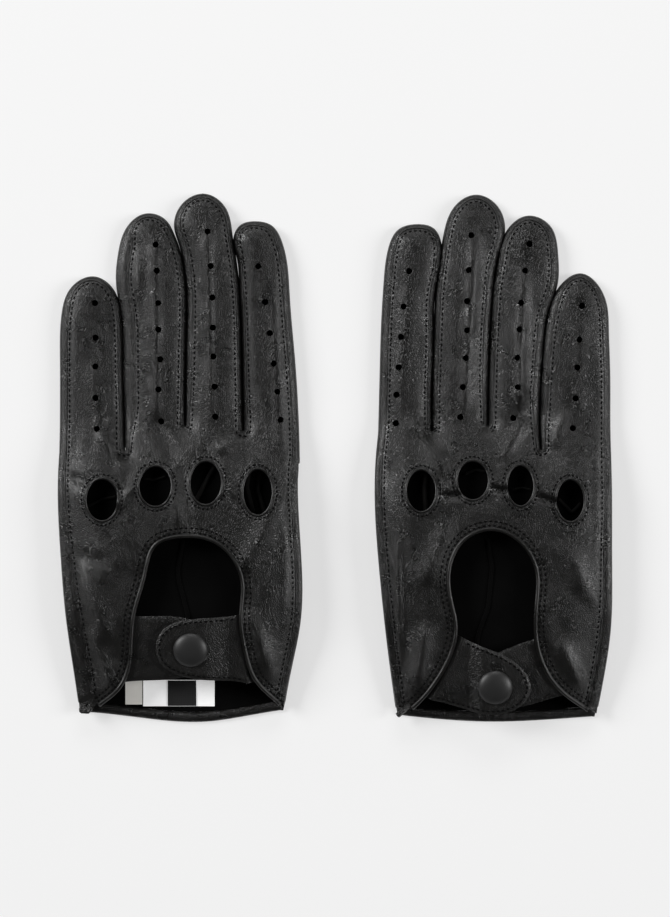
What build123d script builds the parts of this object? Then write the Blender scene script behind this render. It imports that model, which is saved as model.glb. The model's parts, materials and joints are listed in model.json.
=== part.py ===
from build123d import *
from math import atan2, cos, degrees
import os

# A pair of unlined leather driving gloves laid flat side by side: palms down, backs up and the
# fingers along +Y.  Each glove is drawn in its own plan, where u runs from the little finger
# side (negative) to the index finger side (positive) and y runs towards the fingertips.  The
# right glove's plan is mirrored as it is placed.  Z is up from the surface the gloves lie on.

# Driving dimensions, mm
LEATHER = 1.0              # one layer of leather
FINGER_HEIGHT = 9.0        # a finger lying slack on the surface
HAND_HEIGHT = 16.0         # top of the back of the hand
THUMB_HEIGHT = 6.9         # the thumb, folded flat under the palm
PALM_LIFT = 7.5            # underside of the palm where it lies on the thumb
CUFF_HEIGHT = 10.0         # top of the back panel at the cuff
GLOVE_CENTRE = 70.0        # each glove's u = 0 line from the middle of the pair
JOINT_GAP = 0.6            # space left between a finger and the hand
BINDING_WIDTH = 1.8        # rolled edge of the keyhole
BINDING_RISE = 0.5
FACING_WIDTH = 3.7         # strip sewn under the keyhole's edge, beyond the binding
FACING_THICKNESS = 0.6
HEM_WIDTH = 4.5
HEM_THICKNESS = 1.8
RIM_WIDTH = 1.2            # turned edge of a knuckle hole
PERFORATION = 2.8          # diameter of the small round holes
LABEL_THICKNESS = 0.3
CAP_DIAMETER = 15.2        # 24 ligne snap cap

# Snap closure, heights above the plane of the back panel at the cuff
STRAP_LOW = -2.8
STRAP_HIGH = -1.7
TAB_ROOT_LOW = -1.2
TAB_ROOT_HIGH = 0.0
TAB_RAISE = 1.6            # how far the tab climbs from its root to lie over the stud
CAP_RIM = 1.0
CAP_DOME = 2.0
CAP_SHANK_RADIUS = 1.2
SOCKET_RADIUS = 5.0
SOCKET_BORE = 2.6
SOCKET_PLATE = 0.5
SOCKET_DEPTH = 1.35
STUD_RADIUS = 2.2
STUD_FLANGE = 0.4
STUD_HEIGHT = 1.25
RIVET_RADIUS = 4.5
RIVET_THICKNESS = 0.5
RIVET_SHANK_RADIUS = 1.1

# Where the back and the palm bend along the glove, y
SLOPE_START = -66.0        # the back falls from here to the cuff
CUFF = -118.0
KNUCKLE_LINE = -14.0       # the back falls from here to the finger roots
FINGER_ROOT = 14.0
FINGER_HINGE = 22.5        # where the index, middle and ring fingers bend, above their crotches
LITTLE_HINGE = 8.0
THUMB_MOUTH_START = 2.0    # the opening from hand to thumb, down from the top of the thumb's root
THUMB_MOUTH_LENGTH = 38.0
THUMB_MOUTH_DEPTH = 12.0
MOUTH_MARGIN = 0.3         # side wall left above and below that opening
REACH = 150.0              # beyond the gloves in every direction

BACK_LINE = [
    (-REACH, CUFF_HEIGHT - (REACH + CUFF) * (HAND_HEIGHT - CUFF_HEIGHT) / (SLOPE_START - CUFF)),
    (SLOPE_START, HAND_HEIGHT),
    (KNUCKLE_LINE, HAND_HEIGHT),
    (FINGER_ROOT, FINGER_HEIGHT),
    (REACH, FINGER_HEIGHT),
]
PALM_LINE = [
    (-REACH, 0.0),
    (-97.0, 0.0),
    (-83.0, PALM_LIFT),
    (0.0, PALM_LIFT),
    (12.0, 0.0),
    (REACH, 0.0),
]

# The folded thumb, drawn from the top of its root; the root runs straight down -y
THUMB = [
    (0.0, 0.0),
    (-14.0, 10.3),
    (-26.9, 18.3),
    (-38.0, 21.1),
    (-46.1, 17.2),
    (-48.8, 7.7),
    (-44.3, -4.5),
    (-33.2, -15.3),
    (-17.2, -27.9),
    (-6.6, -41.3),
    (0.0, -53.3),
]

LEFT = {
    "name": "left",
    "mirrored": False,
    "hand": [
        [(-52.5, 3.0), (-52.7, -24.0), (-51.5, -45.0), (-49.9, -65.0), (-47.5, -85.0), (-43.8, -113.5)],
        [(-43.8, -113.5), (-15.9, -116.4), (12.4, -118.0), (30.0, -115.5), (46.8, -112.7)],
        [(46.8, -112.7), (51.2, -89.0), (54.2, -73.0), (54.3, -40.0), (53.7, 4.2)],
        [(53.7, 4.2), (29.6, 12.2), (3.2, 14.6), (-23.4, 3.3), (-52.5, 3.0)],
    ],
    "fingers": {
        "little": {
            "hinge": LITTLE_HINGE,
            "outline": [(-52.5, -2.0), (-52.6, 20.0), (-52.6, 42.0), (-52.0, 64.0), (-47.5, 76.5),
                        (-37.7, 81.0),
                        (-29.6, 75.6), (-26.1, 64.0), (-25.3, 42.0), (-24.7, 20.0), (-23.9, -2.0)],
            "holes": [(-36.9, 69.3), (-36.6, 53.8), (-36.7, 41.0), (-36.6, 26.9), (-35.9, 13.2)],
        },
        "ring": {
            "hinge": FINGER_HINGE,
            "outline": [(-23.1, -2.0), (-24.0, 20.0), (-24.6, 42.0), (-25.3, 64.0), (-27.6, 79.0),
                        (-26.6, 91.9),
                        (-23.0, 103.0), (-14.5, 109.2), (-5.8, 106.2), (-2.9, 101.5), (-0.4, 95.3),
                        (2.0, 85.0), (3.2, 72.8), (2.9, 50.0), (2.7, 24.0), (2.9, -2.0)],
            "holes": [(-9.8, 95.2), (-9.3, 83.5), (-8.6, 69.1), (-8.5, 57.3), (-7.7, 44.1),
                      (-8.5, 30.7), (-7.4, 16.5)],
        },
        "middle": {
            "hinge": FINGER_HINGE,
            "outline": [(3.6, -2.0), (3.4, 24.0), (3.6, 50.0), (3.9, 72.8), (2.8, 85.8), (0.5, 96.0),
                        (-1.6, 104.0),
                        (2.6, 114.4), (12.0, 118.0), (21.1, 111.2), (23.6, 100.5), (25.3, 90.0),
                        (26.6, 79.0),
                        (27.6, 62.0), (28.1, 40.0), (28.6, 18.0), (29.3, -2.0)],
            "holes": [(13.3, 101.0), (14.7, 85.6), (15.4, 71.7), (15.7, 58.2), (15.8, 45.4),
                      (16.4, 32.0), (16.7, 18.6)],
        },
        "index": {
            "hinge": FINGER_HINGE,
            "outline": [(30.1, -2.0), (29.4, 18.0), (28.9, 40.0), (28.3, 62.0), (27.5, 79.0),
                        (26.4, 90.0), (25.0, 98.5),
                        (27.8, 104.0), (34.5, 105.7), (41.3, 104.0), (46.0, 96.5), (49.3, 72.6),
                        (51.6, 45.0), (53.2, 20.0), (53.8, -2.0)],
            "holes": [(35.8, 85.6), (38.9, 69.7), (41.0, 55.8), (42.7, 42.2), (44.4, 29.7), (45.8, 17.2)],
        },
    },
    "knuckles": [(-33.1, -18.3, 13.4, 17.9), (-9.5, -12.3, 13.8, 17.1),
                 (12.8, -10.8, 13.3, 18.5), (35.8, -14.9, 12.3, 19.6)],
    "keyhole": [(-40.5, -123.0), (-33.7, -109.9), (-25.7, -103.0), (-22.0, -96.6), (-19.6, -83.6),
                (-18.4, -69.9), (-13.5, -52.1), (-9.0, -38.9), (3.5, -35.2), (16.4, -37.5),
                (25.5, -46.5), (28.3, -56.0), (27.5, -69.9), (29.4, -85.2), (33.4, -97.6),
                (42.5, -108.0), (52.0, -118.0)],
    "tab": [(26.2, -69.5), (14.0, -70.3), (3.1, -71.4), (-5.9, -75.4), (-9.3, -83.0), (-6.8, -91.0),
            (1.5, -96.1), (14.0, -98.2), (30.9, -100.0)],
    "tab_rise": (23.5, 14.5),
    "strap": [(-27.0, -68.3), (-8.0, -70.0), (6.0, -71.6), (14.0, -77.0), (16.0, -85.0), (13.2, -92.5),
              (4.0, -97.2), (-10.0, -98.8), (-30.0, -101.2)],
    "cap": (6.1, -84.4),
    "thumb_root": (53.6, -26.7),
    "thumb_turn": 0.0,
}

RIGHT = {
    "name": "right",
    "mirrored": True,
    "hand": [
        [(-52.7, 3.0), (-52.8, -20.0), (-52.8, -46.0), (-52.4, -74.5), (-49.4, -99.0), (-46.4, -115.6)],
        [(-46.4, -115.6), (-23.9, -117.2), (0.8, -118.0), (21.4, -117.0), (42.0, -114.9)],
        [(42.0, -114.9), (46.9, -78.5), (50.2, -46.0), (51.8, -21.0), (50.6, 8.0)],
        [(50.6, 8.0), (26.7, 12.2), (1.6, 14.6), (-22.4, 3.5), (-52.7, 3.0)],
    ],
    "fingers": {
        "little": {
            "hinge": LITTLE_HINGE,
            "outline": [(-52.7, -2.0), (-52.7, 18.0), (-52.7, 38.0), (-52.1, 58.0), (-49.2, 74.5),
                        (-39.7, 82.4),
                        (-31.0, 77.0), (-25.4, 63.9), (-23.7, 52.0), (-22.5, 36.1), (-21.8, 18.0),
                        (-22.7, -2.0)],
            "holes": [(-40.0, 68.0), (-38.7, 52.9), (-37.9, 40.5), (-37.1, 26.8), (-35.8, 13.5)],
        },
        "ring": {
            "hinge": FINGER_HINGE,
            "outline": [(-22.0, -2.0), (-21.1, 18.0), (-21.9, 36.1), (-23.1, 52.0), (-24.7, 63.9),
                        (-29.2, 78.0), (-29.4, 91.7), (-26.0, 103.8), (-16.3, 108.2), (-7.0, 101.4),
                        (-3.2, 89.3), (-1.1, 75.9), (0.1, 59.9), (0.9, 40.0), (1.3, 18.6), (1.3, -2.0)],
            "holes": [(-16.7, 95.6), (-14.6, 83.6), (-12.8, 69.2), (-12.1, 57.4), (-11.1, 44.8),
                      (-11.3, 31.7), (-9.3, 18.0)],
        },
        "middle": {
            "hinge": FINGER_HINGE,
            "outline": [(1.9, -2.0), (1.9, 18.6), (1.5, 40.0), (0.7, 59.9), (-0.5, 75.9), (-2.5, 89.3),
                        (-5.6, 101.0), (-3.2, 111.6), (6.8, 117.6), (15.9, 112.8), (21.2, 99.0),
                        (24.5, 75.9), (25.6, 52.0), (26.3, 30.0), (26.4, 12.0), (26.4, -2.0)],
            "holes": [(9.4, 99.4), (10.5, 83.8), (11.3, 70.0), (11.3, 57.0), (11.8, 44.7),
                      (13.1, 31.7), (14.2, 18.5)],
        },
        "index": {
            "hinge": FINGER_HINGE,
            "outline": [(27.0, -2.0), (27.0, 12.0), (26.9, 30.0), (26.2, 52.0), (25.2, 75.9), (22.8, 96.0),
                        (26.0, 102.6), (33.5, 104.4), (41.5, 102.0), (45.7, 94.0), (47.7, 79.9),
                        (48.9, 60.0), (49.5, 40.0), (50.0, 20.0), (50.7, -2.0)],
            "holes": [(37.0, 83.4), (39.5, 67.6), (40.7, 54.1), (41.7, 40.6), (42.7, 28.4), (42.9, 15.7)],
        },
    },
    "knuckles": [(-34.1, -18.6, 11.7, 17.9), (-12.1, -12.0, 11.1, 17.3),
                 (9.0, -9.7, 13.2, 16.5), (31.9, -14.3, 12.4, 17.8)],
    "keyhole": [(-53.0, -121.5), (-42.0, -112.6), (-31.3, -105.0), (-24.7, -97.5), (-20.6, -89.3),
                (-18.2, -79.0), (-18.3, -63.0), (-18.6, -51.0), (-12.5, -38.5), (0.8, -32.1),
                (12.8, -37.0), (18.6, -49.0), (17.6, -63.9), (15.6, -74.0), (18.4, -88.0),
                (23.9, -98.4), (31.5, -108.3), (43.0, -118.5)],
    "tab": [(13.4, -79.4), (3.5, -83.6), (-7.4, -88.6), (-14.8, -95.4), (-16.8, -101.5), (-14.2, -108.0),
            (-7.4, -112.4), (1.5, -113.6), (14.0, -110.9), (27.0, -107.5)],
    "tab_rise": (12.6, 4.6),
    "strap": [(-24.5, -78.3), (-12.0, -82.4), (-2.5, -86.4), (5.0, -91.4), (8.0, -99.0), (5.6, -107.0),
              (-3.0, -111.2), (-13.2, -110.7), (-38.0, -105.0)],
    "cap": (-1.0, -101.2),
    "thumb_root": (51.0, -26.7),
    "thumb_turn": -5.0,
}

# Labels sewn inside the left palm's hem: middle u, middle y, width, depth and height of the underside
LABELS = {
    "left_size_label": (-20.2, -104.4, 7.6, 11.8, LEATHER),
    "left_care_label": (0.0, -105.2, 32.0, 11.8, LEATHER),
    "left_hanging_tape": (1.4, -105.2, 12.8, 11.4, LEATHER + LABEL_THICKNESS),
}


def closed(points):
    """A plan face with one smooth line round it, closed by a straight root."""
    return make_face([Spline(*points), Line(points[-1], points[0])])


def shifted(points, distance):
    """The points moved to the left of the smooth line through them, or to its right if negative."""
    line = Spline(*points)
    moved = []
    for point in points:
        along = line.tangent_at(line.param_at_point(point))
        moved.append((point[0] - along.Y * distance, point[1] + along.X * distance))
    return moved


def hand_region(glove):
    """The palm's plan: smooth sides and hem, and straight lines from crotch to crotch."""
    little_side, hem, index_side, roots = glove["hand"]
    edges = [Spline(*little_side), Spline(*hem), Spline(*index_side), Polyline(*roots)]
    return make_face(edges)


def hand_space(glove):
    """The room inside the hand and fingers, open at the wrist."""
    little_side, hem, index_side, roots = glove["hand"]
    left = shifted(little_side, LEATHER)
    right = shifted(index_side, LEATHER)
    top = [(u, y - LEATHER) for u, y in roots[1:-1]]
    mouth = [(left[-1][0], -REACH), (right[0][0], -REACH)]
    space = make_face([Spline(*left), Polyline(left[-1], *mouth, right[0]), Spline(*right),
                       Polyline(right[-1], *top, left[0])])
    for finger in glove["fingers"].values():
        space = space + closed(shifted(finger["outline"], -LEATHER))
    return space


def above(y):
    """The half of the plan beyond y."""
    return Pos(0, y + REACH) * Rectangle(3 * REACH, 2 * REACH)


def below(y):
    return Pos(0, y - REACH) * Rectangle(3 * REACH, 2 * REACH)


def between(low_line, low, high_line, high):
    """Everything from one bent line to another, each shifted up or down, right across the pair."""
    bottom = [(y, z + low) for y, z in low_line]
    top = [(y, z + high) for y, z in reversed(high_line)]
    side = make_face(Polyline(*bottom, *top, close=True))
    return extrude(Plane.YZ * side, REACH, both=True)


def layer(face, line, low, high):
    """A sheet of that plan which follows a bent line."""
    return extrude(face, 2 * HAND_HEIGHT) & between(line, low, line, high)


def wall(face):
    """The upright sides between the palm layer and the back layer."""
    return extrude(face, 2 * HAND_HEIGHT) & between(PALM_LINE, LEATHER, BACK_LINE, -LEATHER)


def perforations(finger):
    """The row of small round holes along the back of a finger, as a plan face."""
    return Sketch() + [Pos(*hole) * Circle(PERFORATION / 2) for hole in finger["holes"]]


def ovals(glove, grow):
    """The four knuckle holes as plan faces, each larger by grow all round."""
    faces = []
    for u, y, width, length in glove["knuckles"]:
        faces.append(Pos(u, y) * Ellipse(width / 2 + grow, length / 2 + grow))
    return faces


def keyhole_region(glove, grow):
    """The large opening at the back, which widens to the cuff, grown by a binding or facing."""
    return closed(shifted(glove["keyhole"], grow) if grow else glove["keyhole"])


def make_hand(glove):
    """Back panel, palm panel with its side walls, hem, binding, facing and knuckle rims."""
    palm = hand_region(glove)
    fingers = glove["fingers"].values()
    stubs = [closed(f["outline"]) & below(f["hinge"]) for f in fingers]
    whole = palm + stubs
    inside = hand_space(glove)

    opening = keyhole_region(glove, BINDING_WIDTH)
    back = whole - opening
    for hole in ovals(glove, RIM_WIDTH):
        back = back - hole
    for f in fingers:
        back = back - perforations(f)
    parts = {"back_panel": layer(back, BACK_LINE, -LEATHER, 0.0)}

    # The turned hem crosses the palm's wrist edge and lies on the surface
    hem = (palm - Pos(0, HEM_WIDTH) * palm) & below(glove["hand"][1][0][1] + HEM_WIDTH)
    hem_solid = extrude(hem, HEM_THICKNESS)
    parts["wrist_hem"] = hem_solid

    tray = layer(whole, PALM_LINE, 0.0, LEATHER) + wall(whole - inside)
    root_u, root_y = glove["thumb_root"]
    mouth_y = root_y - THUMB_MOUTH_START - THUMB_MOUTH_LENGTH / 2
    thumb_mouth = Pos(root_u, mouth_y, 0) * Box(THUMB_MOUTH_DEPTH, THUMB_MOUTH_LENGTH, 4 * HAND_HEIGHT)
    margin = LEATHER + MOUTH_MARGIN
    thumb_mouth = thumb_mouth & between(PALM_LINE, margin, BACK_LINE, -margin)
    parts["palm_panel"] = tray - hem_solid - thumb_mouth

    parts["keyhole_binding"] = layer((opening - keyhole_region(glove, 0)) & palm, BACK_LINE,
                                     -LEATHER, BINDING_RISE)
    facing = (keyhole_region(glove, BINDING_WIDTH + FACING_WIDTH) - opening) & inside & palm
    for hole in ovals(glove, RIM_WIDTH):
        facing = facing - hole
    parts["keyhole_facing"] = layer(facing, BACK_LINE, -LEATHER - FACING_THICKNESS, -LEATHER)

    rims = []
    for inner, outer in zip(ovals(glove, 0), ovals(glove, RIM_WIDTH)):
        rims.append(layer(outer - inner, BACK_LINE, -LEATHER, BINDING_RISE))
    parts["knuckle_rims"] = rims
    return parts, inside


def make_finger(finger, inside):
    """Back with its perforations, palm side, and the fourchette strip round the sides and tip."""
    plan = closed(finger["outline"]) & above(finger["hinge"] + JOINT_GAP)
    side = plan - inside
    back = plan - perforations(finger)
    return {
        "back": layer(back, BACK_LINE, -LEATHER, 0.0),
        "palm": layer(plan, PALM_LINE, 0.0, LEATHER),
        "fourchette": wall(side),
    }


def make_thumb(glove):
    """The thumb folded flat under the palm: outer side on the surface, inner side against the palm."""
    place = Pos(*glove["thumb_root"], 0) * Rot(0, 0, glove["thumb_turn"])
    plan = closed(THUMB)
    cavity = closed(shifted(THUMB, LEATHER))
    sides = Pos(0, 0, LEATHER) * extrude(plan - cavity, THUMB_HEIGHT - 2 * LEATHER)
    outer = extrude(plan, LEATHER) + sides
    inner = Pos(0, 0, THUMB_HEIGHT - LEATHER) * extrude(plan, LEATHER)
    return {"thumb_back": place * outer, "thumb_palm": place * inner}


def flatten(points):
    """Plan points measured along the closure plane, which slopes down to the cuff."""
    slope = cos(closure_slope())
    return [(u, (y - SLOPE_START) / slope) for u, y in points]


def closure_slope():
    return atan2(HAND_HEIGHT - CUFF_HEIGHT, SLOPE_START - CUFF)


def make_closure(glove):
    """Stud strap, snap tab and the four metal pieces of the snap."""
    place = Pos(0, SLOPE_START, HAND_HEIGHT) * Rot(degrees(closure_slope()), 0, 0)
    (cap_u, cap_v), = flatten([glove["cap"]])
    centre = Pos(cap_u, cap_v, 0)
    tab_low = TAB_ROOT_LOW + TAB_RAISE
    tab_high = TAB_ROOT_HIGH + TAB_RAISE

    def disc(radius, low, high):
        return centre * Pos(0, 0, low) * extrude(Circle(radius), high - low)

    strap = Pos(0, 0, STRAP_LOW) * extrude(closed(flatten(glove["strap"])), STRAP_HIGH - STRAP_LOW)
    strap = strap - disc(RIVET_SHANK_RADIUS, STRAP_LOW - 1, STRAP_HIGH + 1)

    rise_start, rise_end = glove["tab_rise"]
    profile = Polyline(
        (REACH, TAB_ROOT_LOW), (rise_start, TAB_ROOT_LOW), (rise_end, tab_low), (-REACH, tab_low),
        (-REACH, tab_high), (rise_end, tab_high), (rise_start, TAB_ROOT_HIGH), (REACH, TAB_ROOT_HIGH),
        close=True,
    )
    bent = extrude(Plane.XZ * make_face(profile), 2 * REACH, both=True)
    tab = Pos(0, 0, -HAND_HEIGHT) * extrude(closed(flatten(glove["tab"])), 2 * HAND_HEIGHT) & bent
    tab = tab - disc(CAP_SHANK_RADIUS, tab_low - 1, tab_high + 1)

    cap_radius = CAP_DIAMETER / 2
    cap_top = tab_high + CAP_RIM + CAP_DOME
    dome_radius = (cap_radius ** 2 + CAP_DOME ** 2) / (2 * CAP_DOME)
    dome = centre * Pos(0, 0, cap_top - dome_radius) * Sphere(dome_radius)
    cap = disc(cap_radius, tab_high, cap_top) & dome
    cap = cap + disc(CAP_SHANK_RADIUS, tab_low - SOCKET_PLATE, tab_high)

    plate_low = tab_low - SOCKET_PLATE
    socket = disc(SOCKET_RADIUS, plate_low, tab_low) - disc(CAP_SHANK_RADIUS, plate_low - 1, tab_low + 1)
    socket = socket + (disc(SOCKET_RADIUS, tab_low - SOCKET_DEPTH, plate_low)
                       - disc(SOCKET_BORE, tab_low - SOCKET_DEPTH - 1, plate_low))

    stud = disc(SOCKET_RADIUS, STRAP_HIGH, STRAP_HIGH + STUD_FLANGE)
    stud = stud + disc(STUD_RADIUS, STRAP_HIGH, STRAP_HIGH + STUD_HEIGHT)
    rivet = disc(RIVET_RADIUS, STRAP_LOW - RIVET_THICKNESS, STRAP_LOW)
    rivet = rivet + disc(RIVET_SHANK_RADIUS, STRAP_LOW - RIVET_THICKNESS, STRAP_HIGH)
    pieces = {"stud_strap": strap, "snap_tab": tab, "snap_cap": cap, "snap_socket": socket,
              "snap_stud": stud, "stud_rivet": rivet}
    return {name: place * piece for name, piece in pieces.items()}


def make_labels():
    """The woven and printed labels inside the left palm's hem."""
    labels = {}
    for name, (u, y, width, depth, low) in LABELS.items():
        labels[name] = Pos(u - GLOVE_CENTRE, y, low) * extrude(Rectangle(width, depth), LABEL_THICKNESS)
    return labels


def placed(glove, piece):
    """From the glove's own plan to its place in the pair."""
    pieces = piece if isinstance(piece, list) else [piece]
    solids = []
    for item in pieces:
        for solid in item.solids():
            solids.append(mirror(solid, about=Plane.YZ) if glove["mirrored"] else solid)
    side = GLOVE_CENTRE if glove["mirrored"] else -GLOVE_CENTRE
    return Pos(side, 0, 0) * Compound(children=solids)


def make_glove(glove):
    hand, inside = make_hand(glove)
    parts = dict(hand)
    for name, finger in glove["fingers"].items():
        for layer_name, piece in make_finger(finger, inside).items():
            parts[f"{name}_{layer_name}"] = piece
    parts.update(make_thumb(glove))
    parts.update(make_closure(glove))
    return {f"{glove['name']}_{name}": placed(glove, piece) for name, piece in parts.items()}


os.makedirs("parts", exist_ok=True)
nodes = make_glove(LEFT) | make_glove(RIGHT) | make_labels()
for node, shape in nodes.items():
    export_step(shape, f"parts/{node}.step")
print(len(nodes), "nodes")
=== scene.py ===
# A pair of unlined leather driving gloves lying flat: palms down, backs up, fingers along +Y.
import json
import math

import bmesh
import bpy
from mathutils import Matrix, Vector, kdtree, noise


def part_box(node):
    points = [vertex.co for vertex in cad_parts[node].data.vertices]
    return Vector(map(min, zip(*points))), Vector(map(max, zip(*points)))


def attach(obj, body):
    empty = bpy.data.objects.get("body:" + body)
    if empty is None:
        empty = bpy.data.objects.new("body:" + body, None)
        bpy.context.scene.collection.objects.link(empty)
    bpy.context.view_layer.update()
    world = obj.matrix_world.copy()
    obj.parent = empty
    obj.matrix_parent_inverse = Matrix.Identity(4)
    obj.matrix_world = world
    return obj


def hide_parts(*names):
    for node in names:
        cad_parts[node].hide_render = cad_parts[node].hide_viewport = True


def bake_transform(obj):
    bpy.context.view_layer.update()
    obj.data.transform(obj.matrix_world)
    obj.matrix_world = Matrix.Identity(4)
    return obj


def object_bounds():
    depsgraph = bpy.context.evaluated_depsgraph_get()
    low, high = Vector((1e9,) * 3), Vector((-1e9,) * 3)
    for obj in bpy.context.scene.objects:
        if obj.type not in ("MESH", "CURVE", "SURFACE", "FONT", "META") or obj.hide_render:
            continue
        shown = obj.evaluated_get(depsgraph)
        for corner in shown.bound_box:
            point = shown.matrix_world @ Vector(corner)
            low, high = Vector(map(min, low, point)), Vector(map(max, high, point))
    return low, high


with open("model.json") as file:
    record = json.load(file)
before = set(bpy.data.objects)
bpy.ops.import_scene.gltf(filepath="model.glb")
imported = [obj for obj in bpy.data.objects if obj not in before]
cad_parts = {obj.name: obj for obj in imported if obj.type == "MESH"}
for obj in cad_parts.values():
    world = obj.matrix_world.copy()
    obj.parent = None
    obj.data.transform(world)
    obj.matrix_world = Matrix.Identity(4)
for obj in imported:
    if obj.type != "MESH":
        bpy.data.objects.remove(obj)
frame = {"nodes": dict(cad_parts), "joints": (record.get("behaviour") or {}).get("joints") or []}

CAD_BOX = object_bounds()

# ----------------------------------------------------------------------
# Camera, floor and light.  The pair is seen from straight above on a white table, under three
# soft boxes: a key on the little finger side of the left glove, a weaker fill on the other side and
# a weak one beyond the fingertips.
MM = 0.001
VIEW_HEIGHT = 408 * MM
LENS = 90.0
SENSOR = 36.0

camera_data = bpy.data.cameras.new("camera")
camera_data.lens = LENS
camera_data.sensor_width = SENSOR
camera = bpy.data.objects.new("camera", camera_data)
bpy.context.scene.collection.objects.link(camera)
camera.location = (0, 0, VIEW_HEIGHT * LENS / SENSOR + CAD_BOX[1].z / 2)
bpy.context.scene.camera = camera


def linear(hex_colour):
    """An sRGB hex value as the linear colour that a shader takes."""
    channels = [int(hex_colour[i:i + 2], 16) / 255 for i in (0, 2, 4)]
    return [c / 12.92 if c <= 0.04045 else ((c + 0.055) / 1.055) ** 2.4 for c in channels] + [1.0]


def add_node(material, kind, settings=(), **links):
    """Adds a node: settings are its properties and input values, links are sockets to join."""
    tree = material.node_tree
    node = tree.nodes.new("ShaderNode" + kind)
    for name, value in dict(settings).items():
        if isinstance(name, str) and hasattr(node, name):
            setattr(node, name, value)
        else:
            node.inputs[name].default_value = value
    for name, socket in links.items():
        key = name.replace("_", " ")
        target = node.inputs[int(key[1:])] if key[0] == "i" and key[1:].isdigit() else node.inputs[key]
        tree.links.new(socket, target)
    return node


def new_material(name):
    material = bpy.data.materials.new(name)
    material.use_nodes = True
    material.node_tree.nodes.remove(material.node_tree.nodes["Principled BSDF"])
    return material


def finish_material(material, shader):
    output = material.node_tree.nodes["Material Output"]
    material.node_tree.links.new(shader.outputs[0], output.inputs["Surface"])
    return material


def lit_table():
    """White matt acrylic lit from below: it keeps the shadow round the gloves faint."""
    material = new_material("white matt acrylic, lit from below")
    shader = add_node(material, "BsdfPrincipled",
                      {"Base Color": linear("B4B4B4"), "Roughness": 0.9, "Specular IOR Level": 0.0,
                       "Emission Color": linear("FFFFFF"), "Emission Strength": 0.53})
    return finish_material(material, shader)


TABLE_HALF = 4.0
floor_mesh = bpy.data.meshes.new("table")
bm = bmesh.new()
bmesh.ops.create_grid(bm, x_segments=1, y_segments=1, size=TABLE_HALF)
bm.to_mesh(floor_mesh)
floor = bpy.data.objects.new("table", floor_mesh)
floor.location = (0, 0, CAD_BOX[0].z)
bpy.context.scene.collection.objects.link(floor)
floor_mesh.materials.append(lit_table())

ROOM_LIGHT = 0.07
world = bpy.data.worlds.new("studio")
world.use_nodes = True
world.node_tree.nodes["Background"].inputs["Color"].default_value = (1, 1, 1, 1)
world.node_tree.nodes["Background"].inputs["Strength"].default_value = ROOM_LIGHT
bpy.context.scene.world = world
bpy.context.scene.view_settings.view_transform = "Standard"

# Where each soft box stands and its sides, metres, and its power, watts
SOFTBOXES = {
    "key": {"at": (-2.5, 1.3, 1.6), "size": (1.4, 1.2), "power": 84.0},
    "fill": {"at": (2.5, 0.1, 1.5), "size": (1.0, 1.4), "power": 44.0},
    "back": {"at": (0.2, 2.8, 1.3), "size": (2.0, 0.8), "power": 26.0},
}
for name, box in SOFTBOXES.items():
    light = bpy.data.lights.new(name, "AREA")
    light.shape = "RECTANGLE"
    light.size, light.size_y = box["size"]
    light.energy = box["power"]
    holder = bpy.data.objects.new(name, light)
    holder.location = box["at"]
    holder.rotation_euler = (-Vector(box["at"])).to_track_quat("-Z", "Y").to_euler()
    bpy.context.scene.collection.objects.link(holder)

# ----------------------------------------------------------------------
# The gloves' form.  Every panel keeps its CAD outline and levels.  Over them the leather is puffed
# towards the middle of each finger, falls to the seams, and carries the soft folds of a pair that
# has been worn.  u runs from the little finger side to the index finger side, in each glove.
SIGN = {"left": 1.0, "right": -1.0}
FINGERS = ["little", "ring", "middle", "index"]
CENTRE = (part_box("right_little_back")[1].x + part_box("right_index_back")[0].x) / 2
LEATHER = 0.9 * MM
# Faces above this are the thumb mouth's ceiling, not the palm
PALM_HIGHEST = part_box("left_thumb_palm")[1].z + 1.5 * MM
LITTLE_ROOT = 8.0 * MM          # the lines across which the fingers lift
FINGER_ROOT = 22.5 * MM
ROOT_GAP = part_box("left_ring_back")[0].y - FINGER_ROOT
FINE = 0.8 * MM                 # spacing of points along a seam
WELD = 0.002 * MM               # points nearer than this are one point
ROOT_WELD = 0.3 * MM
ON_ROOT = 0.01 * MM
NEAR_ROOT = 0.05 * MM


def cad_face(node, up=True):
    """A merged copy of a CAD node's outer faces that look up (or down), laid flat at z = 0."""
    bm = bmesh.new()
    bm.from_mesh(frame["nodes"][node].data)
    bmesh.ops.remove_doubles(bm, verts=bm.verts, dist=WELD)
    bm.normal_update()
    sign = 1 if up else -1
    others = [f for f in bm.faces if f.normal.z * sign < 0.5
              or not up and f.calc_center_median().z > PALM_HIGHEST]
    bmesh.ops.delete(bm, geom=others, context="FACES")
    for v in bm.verts:
        v.co.z = 0.0
    return bm


def joined(parts):
    """Several flat sheets as one."""
    whole = bmesh.new()
    for bm in parts:
        mesh = bpy.data.meshes.new("part")
        bm.to_mesh(mesh)
        bm.free()
        whole.from_mesh(mesh)
        bpy.data.meshes.remove(mesh)
    return whole


def glove_sheet(side, layer):
    """The hand's and the fingers' sheets of one layer, welded along the lines the fingers bend at."""
    up = layer == "back"
    parts = [cad_face(f"{side}_{layer}_panel", up)]
    for finger in FINGERS:
        bm = cad_face(f"{side}_{finger}_{layer}", up)
        root = min(v.co.y for v in bm.verts)
        for v in bm.verts:
            if v.co.y < root + ON_ROOT:
                v.co.y = root - ROOT_GAP
        parts.append(bm)
    bm = joined(parts)
    on_roots = [v for v in bm.verts
                if min(abs(v.co.y - root) for root in (LITTLE_ROOT, FINGER_ROOT)) < NEAR_ROOT]
    bmesh.ops.remove_doubles(bm, verts=on_roots, dist=ROOT_WELD)
    return bm


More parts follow.
